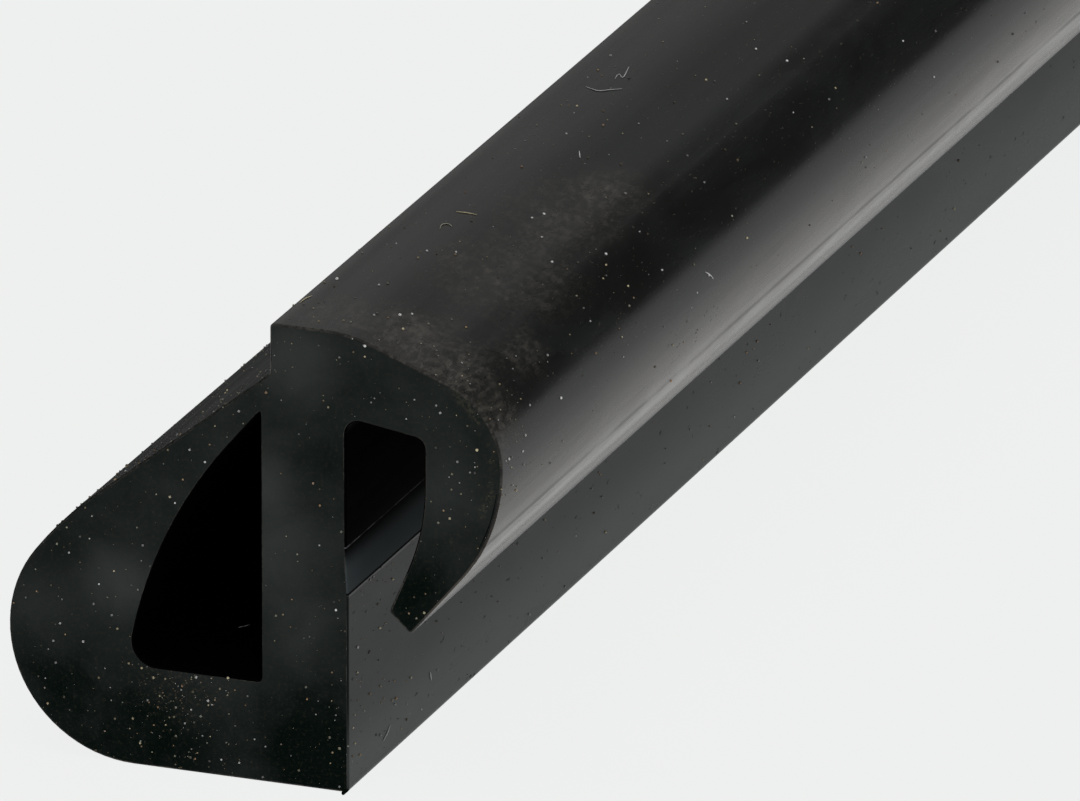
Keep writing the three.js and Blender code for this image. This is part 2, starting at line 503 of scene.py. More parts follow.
# %% Skin of the crown and the lip: haze and specks
# dust that hands leave near the cut: a thin brown haze with specks in it, ragged at the rim
patches = [
    near(tree, place, on_rubber(column, row)[0], reach * MM, 0.6)
    for column, row, reach in HAZE_PATCHES
]
ragged = noise(tree, place, 900.0, 5.0, 0.7)
specks = noise(tree, stretched(tree, place, 0.4), 3400.0, 4.0, 0.7)
haze = times(tree, total(tree, *patches), ramp(tree, ragged, 0.35, 0.75, 0.18, 0.75), clamp=True)
haze = times(tree, haze, ramp(tree, specks, 0.42, 0.66, 0.4, 1.5), clamp=True)
torn = ramp(tree, noise(tree, place, 420.0, 4.0, 0.7), 0.42, 0.6)
torn = times(tree, torn, ramp(tree, specks, 0.35, 0.6))
rim_dust = times(tree, cut_rim(tree, place, RIM_DUST_REACH), torn)
# specks too small to model, thicker where the noise of the haze is strong
fine_specks = ramp(tree, noise(tree, stretched(tree, place, 0.45), 5200.0, 2.0, 0.6), 0.66, 0.74)
fine_specks = times(tree, fine_specks, ramp(tree, ragged, 0.4, 0.6, 0.2, 0.8))
dusty = maths(tree, "MAXIMUM", times(tree, haze, 0.75), times(tree, rim_dust, 0.6))
dusty = maths(tree, "MAXIMUM", dusty, times(tree, fine_specks, 0.8))
colour = blend(tree, dusty, colour, FILM)
print("so far", len(tree.nodes), "nodes")

# %% Skin of the crown and the lip: gloss and relief
SKIN_SPECULAR, SKIN_TINT = 0.095, (1.0, 0.965, 0.94, 1.0)
SKIN_BUMP, SKIN_BUMP_DEPTH = 0.2, 0.02 * MM
TURN_DOWN = (9.4 * MM, 12.1 * MM, 0.0, -0.17)
rough = total(
    tree, ramp(tree, bloom, 0.3, 0.7, 0.22, 0.29), ramp(tree, streaks, 0.3, 0.7, -0.02, 0.02),
    times(tree, dusty, 0.15), times(tree, die_line, 0.10), times(tree, flecks, 0.25),
)
finish_surface(tree, surface, colour, rough, SKIN_SPECULAR)
surface.inputs["Specular Tint"].default_value = SKIN_TINT
lines = times(tree, wide_streaks, total(tree, times(tree, lip_back, 0.8), 0.4))
relief = total(
    tree, times(tree, streaks, 0.2), lines, times(tree, grain, 0.4), times(tree, die_line, -0.8),
)
# the crown already starts to turn down a little before the shoulder's arc begins
turn_down = ramp(tree, spot["X"], *TURN_DOWN)
turned = output_of(tree, "ShaderNodeBump", {"Height": turn_down, "Strength": 1.0, "Distance": MM})
add_relief(tree, surface, relief, SKIN_BUMP, SKIN_BUMP_DEPTH, Normal=turned)
print("finished:", skin.name, "with", len(tree.nodes), "nodes")

# %% [markdown]
# ## Skin of the web's face and of the bulb
# The web's face looks towards the table. Its grey, mottled like a bloom, is painted lighter
# near the foot and darker higher up under the lip: painted light and shade. It has dark flecks.
# The bulb is matt and mirrors nearly nothing. Both are the same recipe as the crown's, with
# their own numbers and without its marks.

# %% Skin of the web's face
WEB_BLACK, WEB_GREY_BLOOM_AND_PAINTED_LIGHT = (0.006, 0.0085, 0.008, 1.0), (0.046, 0.053, 0.051, 1.0)
WEB_FLECK = (0.004, 0.004, 0.004, 1.0)
WEB_PAINTED_LIGHT_BELOW = (5.8 * MM, 0.8 * MM)
WEB_SPECULAR, WEB_TINT = 0.048, (0.95, 1.0, 0.985, 1.0)
WEB_BUMP, WEB_BUMP_DEPTH = 0.2, 0.02 * MM
web_skin, tree, surface, place = shader("web_skin")
streaks = noise(tree, stretched(tree, place, 0.03), 1300.0, 4.0, 0.6)
grain = noise(tree, place, 4200.0, 3.0, 0.65)
bloom = noise(tree, stretched(tree, place, 0.3), 260.0, 5.0, 0.6, 0.5)
# painted light and shade: the grey is strongest near the foot and fades to black higher up, under
# the lip, mottled by the bloom
low = ramp(tree, split(tree, place)["Z"], *WEB_PAINTED_LIGHT_BELOW)
low = times(tree, low, ramp(tree, bloom, 0.25, 0.65, 0.6, 1.1))
colour = blend(tree, low, WEB_BLACK, WEB_GREY_BLOOM_AND_PAINTED_LIGHT)
flecks = ramp(tree, noise(tree, stretched(tree, place, 0.5), 2100.0, 2.0, 0.7), 0.69, 0.73)
colour = blend(tree, flecks, colour, WEB_FLECK)
rough = total(tree, ramp(tree, bloom, 0.3, 0.7, 0.26, 0.32), times(tree, flecks, 0.2))
finish_surface(tree, surface, colour, rough, WEB_SPECULAR)
surface.inputs["Specular Tint"].default_value = WEB_TINT
relief = total(
    tree, times(tree, streaks, 0.3), times(tree, bloom, 0.6), times(tree, grain, 0.5),
    times(tree, flecks, -0.6),
)
add_relief(tree, surface, relief, WEB_BUMP, WEB_BUMP_DEPTH)
print("material:", web_skin.name)

# %% Skin of the bulb
BULB_BLACK, BULB_GREY = (0.0085, 0.0105, 0.0092, 1.0), (0.019, 0.0215, 0.0195, 1.0)
BULB_DUST_REACH = 0.4 * MM
BULB_SPECULAR = 0.02
BULB_BUMP, BULB_BUMP_DEPTH = 0.3, 0.03 * MM
bulb_skin, tree, surface, place = shader("bulb_skin")
streaks = noise(tree, stretched(tree, place, 0.02), 1100.0, 4.0, 0.6)
grain = noise(tree, place, 3800.0, 3.0, 0.65)
bloom = noise(tree, stretched(tree, place, 0.4), 220.0, 4.0, 0.6, 0.5)
colour = blend(tree, ramp(tree, bloom, 0.35, 0.7), BULB_BLACK, BULB_GREY)
rim_dust = times(tree, cut_rim(tree, place, BULB_DUST_REACH), ramp(tree, grain, 0.4, 0.6))
colour = blend(tree, times(tree, rim_dust, 0.2), colour, FILM)
finish_surface(tree, surface, colour, ramp(tree, streaks, 0.3, 0.7, 0.62, 0.75), BULB_SPECULAR)
relief = total(tree, times(tree, streaks, 0.5), times(tree, grain, 0.8))
add_relief(tree, surface, relief, BULB_BUMP, BULB_BUMP_DEPTH)
print("material:", bulb_skin.name)

# %% [markdown]
# ## The knife cut
# A blade leaves rubber duller than the die does, and cloudy. One noise alone gives a cloud,
# but not the photograph's. So the cloud is lifted and lowered at a few round places of the
# section, which paints light and shade into the colour, darker low down. A brown dust,
# thickest below the hollow, and a smear along the shoulder are laid over it.

# %% Knife cut
# the two ends of the cut's tone, which holds both the cloud and the painted light and shade
CUT_DARK, CUT_LIGHT = (0.0006, 0.0040, 0.0028, 1.0), (0.0440, 0.0495, 0.0475, 1.0)
CUT_DUST, SMEAR_BROWN = (0.080, 0.065, 0.045, 1.0), (0.085, 0.075, 0.055, 1.0)
# painted light and shade on the cut, darker low down: across and up in mm, radius in mm, gain
PAINTED_LIGHT_PLACES = (
    (0.6, 14.0, 5.0, 0.68), (0.4, 19.0, 3.5, 0.25), (-7.9, 10.7, 3.4, 0.75), (2.4, 25.0, 3.6, 0.75),
    (-13.2, 9.0, 4.0, 0.2), (11.6, 19.0, 3.4, 0.35), (2.7, 9.4, 3.4, 0.35), (0.6, 17.6, 2.6, 0.5),
)
PAINTED_SHADE_PLACES = (
    (4.0, 1.5, 6.5, 0.6), (-7.5, 1.0, 7.5, 0.42), (9.2, 12.0, 4.6, 0.45), (-8.5, 17.0, 3.0, 0.15),
    (3.6, 19.5, 2.4, 0.2), (-12.4, 4.2, 3.4, 0.3),
)
TONE_RANGE = 1.35
DUST_PIXEL, DUST_REACH = (178, 680), 4.0 * MM
SHOULDER_CENTRE, SMEAR_RADIUS = (9.05 * MM, FRONT_CUT, 20.0 * MM), 5.05 * MM
SMEAR_WIDTH, SMEAR_RIGHT_OF = (0.45 * MM, 0.05 * MM), (11.0 * MM, 12.5 * MM)
CUT_SPECULAR = 0.05
CUT_BUMP, CUT_BUMP_DEPTH = 0.35, 0.03 * MM

cut_face, tree, surface, place = shader("rubber_cut_face")
cloud = noise(tree, place, 260.0, 5.0, 0.6, 0.5)
grain = noise(tree, place, 4200.0, 3.0, 0.6)
cloud_and_painted_light = [ramp(tree, cloud, 0.25, 0.75, 0.3, 0.62)]
for places, sign in ((PAINTED_LIGHT_PLACES, 1.0), (PAINTED_SHADE_PLACES, -1.0)):
    for across, up, radius, gain in places:
        spot_there = near(tree, place, (across * MM, FRONT_CUT, up * MM), radius * MM)
        cloud_and_painted_light.append(times(tree, spot_there, sign * gain))
cloud_and_painted_light = maths(tree, "DIVIDE", total(tree, *cloud_and_painted_light), TONE_RANGE, clamp=True)
colour = blend(tree, cloud_and_painted_light, CUT_DARK, CUT_LIGHT)
# dust too fine to model: brown, thick below the hollow
fine = noise(tree, place, 4600.0, 4.0, 0.75)
below_hollow = near(tree, place, on_rubber(*DUST_PIXEL)[0], DUST_REACH)
fine_dust = times(tree, ramp(tree, fine, 0.5, 0.7), total(tree, below_hollow, 0.35), clamp=True)
colour = blend(tree, times(tree, fine_dust, 0.5), colour, CUT_DUST)
# a brown smear that follows the shoulder just inside its rim
off_arc = unsigned(tree, minus(tree, distance(tree, place, SHOULDER_CENTRE), SMEAR_RADIUS))
smear = times(tree, ramp(tree, off_arc, *SMEAR_WIDTH), ramp(tree, fine, 0.42, 0.62))
smear = times(tree, smear, ramp(tree, noise(tree, place, 520.0, 3.0, 0.6), 0.42, 0.58))
smear = times(tree, smear, ramp(tree, split(tree, place)["X"], *SMEAR_RIGHT_OF))
colour = blend(tree, times(tree, smear, 0.6), colour, SMEAR_BROWN)
finish_surface(tree, surface, colour, ramp(tree, cloud, 0.3, 0.7, 0.95, 0.8), CUT_SPECULAR)
add_relief(tree, surface, grain, CUT_BUMP, CUT_BUMP_DEPTH)
print("material:", cut_face.name, "with", len(PAINTED_LIGHT_PLACES) + len(PAINTED_SHADE_PLACES), "places")

# %% [markdown]
# ## The shade of the hollow and the slot
# Hardly any light reaches the inside of the trim, so the rubber there gets a far darker copy
# of its colour with hardly any gloss: painted shade. Only the strip of the web in the slot's
# mouth is painted lighter, a little bluish, fading into the dark above: painted light. Two fine
# lines cross it where the parts of the die have left a ridge and a groove: a pale painted
# highlight above and a dark painted shade below.

# %% Rubber in the shade of the hollow and the slot
# painted shade: the rubber inside the hollow and the slot is far darker than the skin
SHADE_BLACK, SHADE_GREY = (0.0008, 0.0006, 0.0008, 1.0), (0.0022, 0.0018, 0.0022, 1.0)
MOUTH_PAINTED_LIGHT = (0.052, 0.062, 0.066, 1.0)
RIDGE_PAINTED_HIGHLIGHT, GROOVE_PAINTED_SHADE = (0.11, 0.11, 0.12, 1.0), (0.0015, 0.0015, 0.0015, 1.0)
RIDGE_HIGHLIGHT_HEIGHT, RIDGE_HIGHLIGHT_WIDTH = 14.4 * MM, 0.055 * MM
GROOVE_SHADE_HEIGHT, GROOVE_SHADE_WIDTH = 11.68 * MM, 0.09 * MM
WEB_FROM, WEB_TO = (5.2 * MM, 5.35 * MM), (5.8 * MM, 5.65 * MM)
MOUTH_PAINTED_LIGHT_BELOW = (RIDGE_HIGHLIGHT_HEIGHT, 13.0 * MM)
LINE_CORE = 0.4
SHADE_SPECULAR = 0.004
shade, tree, surface, place = shader("rubber_shade")
shade_mottle = noise(tree, stretched(tree, place, 0.05), 900.0, 3.0)
colour = blend(tree, shade_mottle, SHADE_BLACK, SHADE_GREY)
spot = split(tree, place)
on_web = times(tree, ramp(tree, spot["X"], *WEB_FROM), ramp(tree, spot["X"], *WEB_TO))
# painted light: the web in the slot's mouth is lighter and fades into the painted shade above
mouth_painted_light = times(tree, on_web, ramp(tree, spot["Z"], *MOUTH_PAINTED_LIGHT_BELOW))
colour = blend(tree, mouth_painted_light, colour, MOUTH_PAINTED_LIGHT)


def line_on_web(tree, height, width):
    """1 on a thin line along the stock at a height, 0 off it."""
    off = unsigned(tree, minus(tree, spot["Z"], height))
    return times(tree, on_web, ramp(tree, off, width, LINE_CORE * width))


# the pale line is a painted highlight on the ridge that the die left, broken in places, and the
# dark line a painted shade in its groove
broken = ramp(tree, noise(tree, place, 700.0, 3.0), 0.4, 0.55, 0.35, 1.0)
ridge_painted_highlight = times(tree, line_on_web(tree, RIDGE_HIGHLIGHT_HEIGHT, RIDGE_HIGHLIGHT_WIDTH), broken)
colour = blend(tree, ridge_painted_highlight, colour, RIDGE_PAINTED_HIGHLIGHT)
colour = blend(tree, line_on_web(tree, GROOVE_SHADE_HEIGHT, GROOVE_SHADE_WIDTH), colour, GROOVE_PAINTED_SHADE)
finish_surface(tree, surface, colour, ramp(tree, shade_mottle, 0.3, 0.7, 0.45, 0.6), SHADE_SPECULAR)
print("material:", shade.name)

# %% [markdown]
# ## The extruded rubber
# The outline is swept along a straight path. It could be an Extrude in edit mode, but then the
# edge at the cut would be knife sharp. Here the path's stations crowd together at both ends,
# so the last tenth of a millimetre can be drawn in round the cut, as soft rubber is when a
# blade goes through it. The two cut faces are filled between the rims of the swept wall.

# %% Tree of the extruded rubber: the cut faces
FLAT_TO_UPRIGHT = (-math.pi / 2, 0.0, 0.0)
UPRIGHT_TO_FLAT = (math.pi / 2, 0.0, 0.0)
ONE_FACE_ONLY = 1.5
MERGE_WALL = 2e-6
STATION_CROWDING = 2.5
WAVE_SCALE = 32.0
MARKED_ABOVE = 0.9


def position_in(tree):
    """The place of each point."""
    return output_of(tree, "GeometryNodeInputPosition")


def cut_cap(tree, wall, end, length):
    """The filled face at one end of the wall: end is -1 for the front and 1 for the back."""
    here = times(tree, split(tree, position_in(tree))["Y"], float(end))
    here = maths(tree, "GREATER_THAN", here, 0.0)
    faces = output_of(tree, "GeometryNodeInputMeshEdgeNeighbors")
    rim = times(tree, here, maths(tree, "LESS_THAN", faces, ONE_FACE_ONLY))
    flat = output_of(tree, "GeometryNodeMeshToCurve", {"Mesh": wall, "Selection": rim})
    flat = output_of(tree, "GeometryNodeTransform", {"Geometry": flat, "Rotation": UPRIGHT_TO_FLAT})
    spot = split(tree, position_in(tree))
    level = output_of(tree, "ShaderNodeCombineXYZ", {"X": spot["X"], "Y": spot["Y"]})
    flat = output_of(tree, "GeometryNodeSetPosition", {"Geometry": flat, "Position": level})
    filled = output_of(tree, "GeometryNodeFillCurve", {"Curve": flat}, mode="TRIANGLES")
    place = output_of(tree, "ShaderNodeCombineXYZ", {"Y": times(tree, length, 0.5 * end)})
    return output_of(tree, "GeometryNodeTransform", {
        "Geometry": filled, "Rotation": FLAT_TO_UPRIGHT, "Translation": place,
    })


tree, given, result = new_tree("extruded_rubber", [
    ("Length", "NodeSocketFloat", 1.0),
    ("Stations", "NodeSocketInt", 241),
    ("Flat Spacing", "NodeSocketFloat", 1.2 * MM),
    ("Cut Rounding", "NodeSocketFloat", 0.12 * MM),
    ("Waviness", "NodeSocketFloat", 0.02 * MM),
    ("Skin", "NodeSocketMaterial", None),
    ("Cut Face", "NodeSocketMaterial", None),
    ("Sheltered", "NodeSocketMaterial", None),
    ("Bulb", "NodeSocketMaterial", None),
    ("Web Face", "NodeSocketMaterial", None),
])
print("tree:", tree.name, "with", len(given) - 2, "named sizes and finishes")

# %% Tree of the extruded rubber: the profile and the path
# the profile: laid flat, and its long flats divided
profile = {"Geometry": given["Geometry"], "Rotation": UPRIGHT_TO_FLAT}
profile = output_of(tree, "GeometryNodeTransform", profile)
profile = output_of(tree, "GeometryNodeMeshToCurve", {"Mesh": profile})
position = position_in(tree)
index = output_of(tree, "GeometryNodeInputIndex")
following = add_node(tree, "GeometryNodeOffsetPointInCurve", {"Point Index": index, "Offset": 1})
after = add_node(tree, "GeometryNodeSampleIndex", data_type="FLOAT_VECTOR", domain="POINT")
tree.links.new(profile, after.inputs["Geometry"])
tree.links.new(position, after.inputs["Value"])
tree.links.new(following.outputs["Point Index"], after.inputs["Index"])
span = distance(tree, position, after.outputs[0])
cuts = maths(tree, "FLOOR", maths(tree, "DIVIDE", span, given["Flat Spacing"]))
profile = output_of(tree, "GeometryNodeSubdivideCurve", {"Curve": profile, "Cuts": cuts})
# the path: its stations crowd together at both ends
half = times(tree, given["Length"], 0.5)
path = {"Start": (0.0, 0.0, 0.0), "End": (0.0, 1.0, 0.0)}
path = output_of(tree, "GeometryNodeCurvePrimitiveLine", path)
path = {"Curve": path, "Count": given["Stations"]}
path = output_of(tree, "GeometryNodeResampleCurve", path)
factor = tree.nodes.new("GeometryNodeSplineParameter").outputs["Factor"]
side = minus(tree, times(tree, factor, 2.0), 1.0)
from_end = maths(tree, "POWER", minus(tree, 1.0, unsigned(tree, side)), STATION_CROWDING)
reach = times(tree, maths(tree, "SIGN", side), half)
reach = times(tree, reach, minus(tree, 1.0, from_end))
station = output_of(tree, "ShaderNodeCombineXYZ", {"Y": reach})
path = output_of(tree, "GeometryNodeSetPosition", {"Geometry": path, "Position": station})
path = output_of(tree, "GeometryNodeSetCurveNormal", {"Curve": path}, mode="Z_UP")
wall = output_of(tree, "GeometryNodeCurveToMesh", {"Curve": path, "Profile Curve": profile})
print("the wall takes", len(tree.nodes), "nodes")

# %% Tree of the extruded rubber: the rounded cuts and the finishes
# the wall drawn in at the cuts, and very slightly wavy
normal = output_of(tree, "GeometryNodeInputNormal")
position = position_in(tree)
depth = minus(tree, half, unsigned(tree, split(tree, position)["Y"]))
depth_share = maths(tree, "DIVIDE", depth, given["Cut Rounding"])
share = minus(tree, 1.0, depth_share, clamp=True)
arc = maths(tree, "SQRT", minus(tree, 1.0, times(tree, share, share), clamp=True))
drawn_in = times(tree, given["Cut Rounding"], minus(tree, 1.0, arc))
wave = {"Vector": position, "Scale": WAVE_SCALE, "Detail": 2.0}
wave = output_of(tree, "ShaderNodeTexNoise", wave)
inwards = total(tree, drawn_in, times(tree, wave, given["Waviness"]))
offset = {0: normal, "Scale": times(tree, inwards, -1.0)}
offset = output_of(tree, "ShaderNodeVectorMath", offset, operation="SCALE")
wall = output_of(tree, "GeometryNodeSetPosition", {"Geometry": wall, "Offset": offset})
# the two cut faces, then one closed skin
caps = tree.nodes.new("GeometryNodeJoinGeometry")
for end in (-1, 1):
    tree.links.new(cut_cap(tree, wall, end, given["Length"]), caps.inputs[0])
caps = {"Geometry": caps.outputs[0], "Shade Smooth": False}
caps = output_of(tree, "GeometryNodeSetShadeSmooth", caps)
caps = with_mark(tree, caps, "cut", 1.0, "FACE")
wall = output_of(tree, "GeometryNodeSetShadeSmooth", {"Geometry": wall, "Shade Smooth": True})
whole = tree.nodes.new("GeometryNodeJoinGeometry")
tree.links.new(wall, whole.inputs[0])
tree.links.new(caps, whole.inputs[0])
whole = {"Geometry": whole.outputs[0], "Distance": MERGE_WALL}
whole = output_of(tree, "GeometryNodeMergeByDistance", whole)
whole = output_of(tree, "GeometryNodeRealizeInstances", {"Geometry": whole})
whole = coated(tree, whole, given["Skin"])
for label, finish in (
    ("sheltered", "Sheltered"), ("bulb", "Bulb"), ("web", "Web Face"), ("cut", "Cut Face"),
):
    chosen = maths(tree, "GREATER_THAN", marked(tree, label), MARKED_ABOVE)
    whole = coated(tree, whole, given[finish], chosen)
tree.links.new(whole, result.inputs[0])
extruded_rubber = tree
print("tree:", extruded_rubber.name, "with", len(extruded_rubber.nodes), "nodes")

# %% Grow the skin
CUBIC_CENTIMETRES = 1e6
skin_piece = grown_mesh("trim_skin", section, extruded_rubber, {
    "Length": cad_box[1][1] - cad_box[0][1], "Skin": skin, "Cut Face": cut_face,
    "Sheltered": shade, "Bulb": bulb_skin, "Web Face": web_skin,
})
merged = bmesh.new()
merged.from_mesh(skin_piece.data)
open_edges = sum(1 for edge in merged.edges if len(edge.link_faces) != 2)
bmesh.ops.recalc_face_normals(merged, faces=merged.faces)
volume = merged.calc_volume(signed=True)
merged.to_mesh(skin_piece.data)
merged.free()
print("skin:", len(skin_piece.data.polygons), "faces, open edges:", open_edges)
print("volume in cubic centimetres:", round(volume * CUBIC_CENTIMETRES, 2))

# %% Put the skin on the body
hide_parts("edge_trim_seal")
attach(skin_piece, "root")
print(skin_piece.name, "stands for the solid and rides on root")

# %% [markdown]
# ## What the blade left
# A blade that leaves soft rubber drags a little of it along. The photograph shows a small nib
# at the foot of the web and a thin lifted sliver on the back of the lip. Each is a fin with
# three corners across, drawn along a few points of the outline, and it thins out at its ends.
# A third, dark fin just inside the sliver is a painted shadow of the gap behind it.

# %% Fins on the front cut
SWELL_POWER = 0.7
ROOT_DEPTH, EDGE_DEPTH = 0.02 * MM, 0.15 * MM


def cut_fin(name, path, reach, lift, thickness, material):
    """A thin fin along part of the front cut's rim, standing out from it by a reach."""
    mesh = bmesh.new()
    rows = []
    for n, (here, outwards) in enumerate(path):
        swell = math.sin(math.pi * (n + 0.5) / len(path)) ** SWELL_POWER
        inner = here - outwards * thickness
        tip = here + outwards * lift * swell
        rows.append([
            mesh.verts.new((inner.x, FRONT_CUT + ROOT_DEPTH, inner.y)),
            mesh.verts.new((here.x, FRONT_CUT + EDGE_DEPTH, here.y)),
            mesh.verts.new((tip.x, FRONT_CUT - reach * swell, tip.y)),
        ])
    for before, after in zip(rows, rows[1:]):
        for one, other in ((0, 1), (1, 2), (2, 0)):
            mesh.faces.new((before[one], before[other], after[other], after[one]))
    mesh.faces.new(rows[0])
    mesh.faces.new(rows[-1])
    bmesh.ops.recalc_face_normals(mesh, faces=mesh.faces)
    data = bpy.data.meshes.new(name)
    mesh.to_mesh(data)
    mesh.free()
    for polygon in data.polygons:
        polygon.use_smooth = True
    data.materials.append(material)
    piece = bpy.data.objects.new(name, data)
    bpy.context.scene.collection.objects.link(piece)
    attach(piece, "root")
    return piece


def rim_path(inside, spacing):
    """Points of the outside loop that pass a test, close together, each with its outward way."""
    path = []
    for before, here in zip(outer_loop, outer_loop[1:] + outer_loop[:1]):
        steps = max(1, math.ceil((here - before).length / spacing))
        for n in range(steps):
            point = before.lerp(here, n / steps)
            way = (here - before).normalized()
            if inside(point):
                path.append((point, Vector((-way.y, way.x))))
    return path


print("fin helpers:", cut_fin.__name__, rim_path.__name__)

# %% The sliver, the painted shadow gap and the nib
LIP_RIGHT_OF, LIP_LOW, LIP_HIGH = 12.4 * MM, 14.4 * MM, 19.2 * MM
NIB_LEFT, NIB_RIGHT, NIB_TOP = 5.1 * MM, 5.56 * MM, 0.25 * MM
LIP_SPACING, NIB_SPACING = 0.35 * MM, 0.07 * MM
SHADOW_GAP_INSIDE = 0.24 * MM
# how far each fin stands out of the cut and off the rim, and how thick it is
SLIVER_SIZES = (0.22 * MM, 0.05 * MM, 0.12 * MM)
SHADOW_GAP_SIZES = (0.03 * MM, 0.0, 0.08 * MM)
NIB_SIZES = (0.45 * MM, 0.0, 0.16 * MM)


def on_lip_back(point):
    """True for a point of the outline on the back of the lip."""
    return point.x > LIP_RIGHT_OF and LIP_LOW < point.y < LIP_HIGH


def on_foot_corner(point):
    """True for a point of the outline at the right corner of the web's foot."""
    return NIB_LEFT < point.x < NIB_RIGHT and point.y < NIB_TOP


lip_path = rim_path(on_lip_back, LIP_SPACING)
# a thin dark fin of the shade rubber just inside the sliver: a painted shadow of the gap
shadow_gap_path = [(point - outwards * SHADOW_GAP_INSIDE, outwards) for point, outwards in lip_path]
fins = [
    cut_fin("lip_sliver", lip_path, *SLIVER_SIZES, skin),
    cut_fin("lip_shadow_gap", shadow_gap_path[1:-3], *SHADOW_GAP_SIZES, shade),
    cut_fin("foot_nib", rim_path(on_foot_corner, NIB_SPACING), *NIB_SIZES, cut_face),
]
print("fins:", [(fin.name, len(fin.data.polygons)) for fin in fins])

# %% [markdown]
# ## Dust
# Black rubber shows every speck. Dust could be painted in the material, but then it has no
# height and no shine of its own. Here a grain of a dozen faces is scattered over the skin by
# Geometry Nodes: sparse on the top, denser near the two cuts and on them, and densest below
# the hollow. Each grain gets a random size and a random tint, and some are half sunk.

# %% Dust material
PALE_GREY, NEARLY_WHITE = (0.30, 0.33, 0.30, 1.0), (0.95, 0.95, 0.93, 1.0)
# the tints between them: where on the ramp, and the colour
GRAIN_TINTS = (
    (0.35, (0.74, 0.64, 0.42, 1.0)), (0.6, (0.50, 0.29, 0.15, 1.0)),
    (0.72, (0.45, 0.46, 0.46, 1.0)),
)
SUNK_GRAIN = (0.035, 0.034, 0.028, 1.0)
DUST_SPECULAR = 0.3
dust, tree, surface, place = shader("dust")
tint = add_node(tree, "ShaderNodeAttribute", attribute_name="tint")
shades = tree.nodes.new("ShaderNodeValToRGB")
shades.color_ramp.elements[0].color = PALE_GREY
shades.color_ramp.elements[1].color = NEARLY_WHITE
for stop, grain_tint in GRAIN_TINTS:
    shades.color_ramp.elements.new(stop).color = grain_tint
tree.links.new(tint.outputs["Fac"], shades.inputs["Fac"])
# a grain half sunk in the rubber's oil looks darker: the attribute says how much
dimmed = add_node(tree, "ShaderNodeAttribute", attribute_name="dimmed").outputs["Fac"]
speckle = noise(tree, place, 9000.0, 2.0)
dimming = maths(tree, "ADD", times(tree, dimmed, 0.85), times(tree, speckle, 0.15), clamp=True)
colour = blend(tree, dimming, shades.outputs["Color"], SUNK_GRAIN)
finish_surface(tree, surface, colour, ramp(tree, speckle, 0.3, 0.7, 0.7, 0.9), DUST_SPECULAR)
print("material:", dust.name)

# %% One grain on each point
FULL_TURN = 6.283
TILT = 0.5
SMALL_GRAIN_BIAS = 3.0
LEAST_DIMMED = 0.25


def random_number(tree, low, high, seed):
    """A random number for each point."""
    inputs = {2: low, 3: high, "Seed": seed}
    return add_node(tree, "FunctionNodeRandomValue", inputs, data_type="FLOAT").outputs[1]


def dropped(tree, points, rotation, grain_shape, smallest, largest, seed):
    """A grain on each point, with a random size, turn and tint."""
    share = maths(tree, "POWER", random_number(tree, 0.0, 1.0, seed), SMALL_GRAIN_BIAS)
    size = total(tree, smallest, times(tree, share, minus(tree, largest, smallest)))
    tinted = with_mark(tree, points, "tint", random_number(tree, 0.0, 1.0, seed + 1))
    dimming = random_number(tree, LEAST_DIMMED, 1.0, seed + 4)
    tinted = with_mark(tree, tinted, "dimmed", dimming)
    placed = output_of(tree, "GeometryNodeInstanceOnPoints", {
        "Points": tinted, "Instance": grain_shape, "Rotation": rotation, "Scale": size,
    })
    turned = output_of(tree, "ShaderNodeCombineXYZ", {
        "X": random_number(tree, -TILT, TILT, seed + 2),
        "Z": random_number(tree, 0.0, FULL_TURN, seed + 3),
    })
    rotated = {"Instances": placed, "Rotation": turned}
    return output_of(tree, "GeometryNodeRotateInstances", rotated)


print("grain helpers:", random_number.__name__, dropped.__name__)

# %% Tree of the scattered dust: its inputs
# ramps for the density: from, to, and the values at both
DRIFTS = (0.35, 0.7, 0.25, 1.9)
DENSER_TOWARDS_CUT = (0.38, HALF_LENGTH, 0.5, 3.0)
DENSEST_AT_CUT = (0.482, HALF_LENGTH, 0.0, 4.0)
DRIFT_SCALE = 130.0
OPEN_SIDE_ABOVE, UNSHELTERED_BELOW = -0.2, 0.1
CLUSTER_SHAPE = (0.8, 1.0, 1.5)
GRAIN_SEED = 11

tree, given, result = new_tree("scattered_dust", [
    ("Top Density", "NodeSocketFloat", 170000.0),
    ("Cut Density", "NodeSocketFloat", 450000.0),
    ("Smallest", "NodeSocketFloat", 0.02 * MM),
    ("Largest", "NodeSocketFloat", 0.1 * MM),
    ("Cluster", "NodeSocketVector", None),
    ("Cluster Density", "NodeSocketFloat", 14000000.0),
    ("Cluster Radius", "NodeSocketFloat", 3.8 * MM),
    ("Seed", "NodeSocketInt", 7),
    ("Dust", "NodeSocketMaterial", None),
])
print("tree:", tree.name, "with", len(given) - 2, "named inputs")

# %% Tree of the scattered dust: how much lies where
# on the skin: only on its open sides, and denser towards the cuts
facing = split(tree, output_of(tree, "GeometryNodeInputNormal"))["Z"]
open_side = maths(tree, "GREATER_THAN", facing, OPEN_SIDE_ABOVE)
cut_mark = marked(tree, "cut")
in_open = maths(tree, "LESS_THAN", marked(tree, "sheltered"), UNSHELTERED_BELOW)
position = position_in(tree)
drift = {"Vector": position, "Scale": DRIFT_SCALE, "Detail": 3.0}
drift = output_of(tree, "ShaderNodeTexNoise", drift)
drift = ramp(tree, drift, *DRIFTS, kind="LINEAR")
on_top = times(tree, times(tree, open_side, in_open), given["Top Density"])
along = unsigned(tree, split(tree, position)["Y"])
towards_cut = ramp(tree, along, *DENSER_TOWARDS_CUT, kind="LINEAR")
at_cut = ramp(tree, along, *DENSEST_AT_CUT, kind="LINEAR")
on_top = times(tree, on_top, total(tree, towards_cut, at_cut))
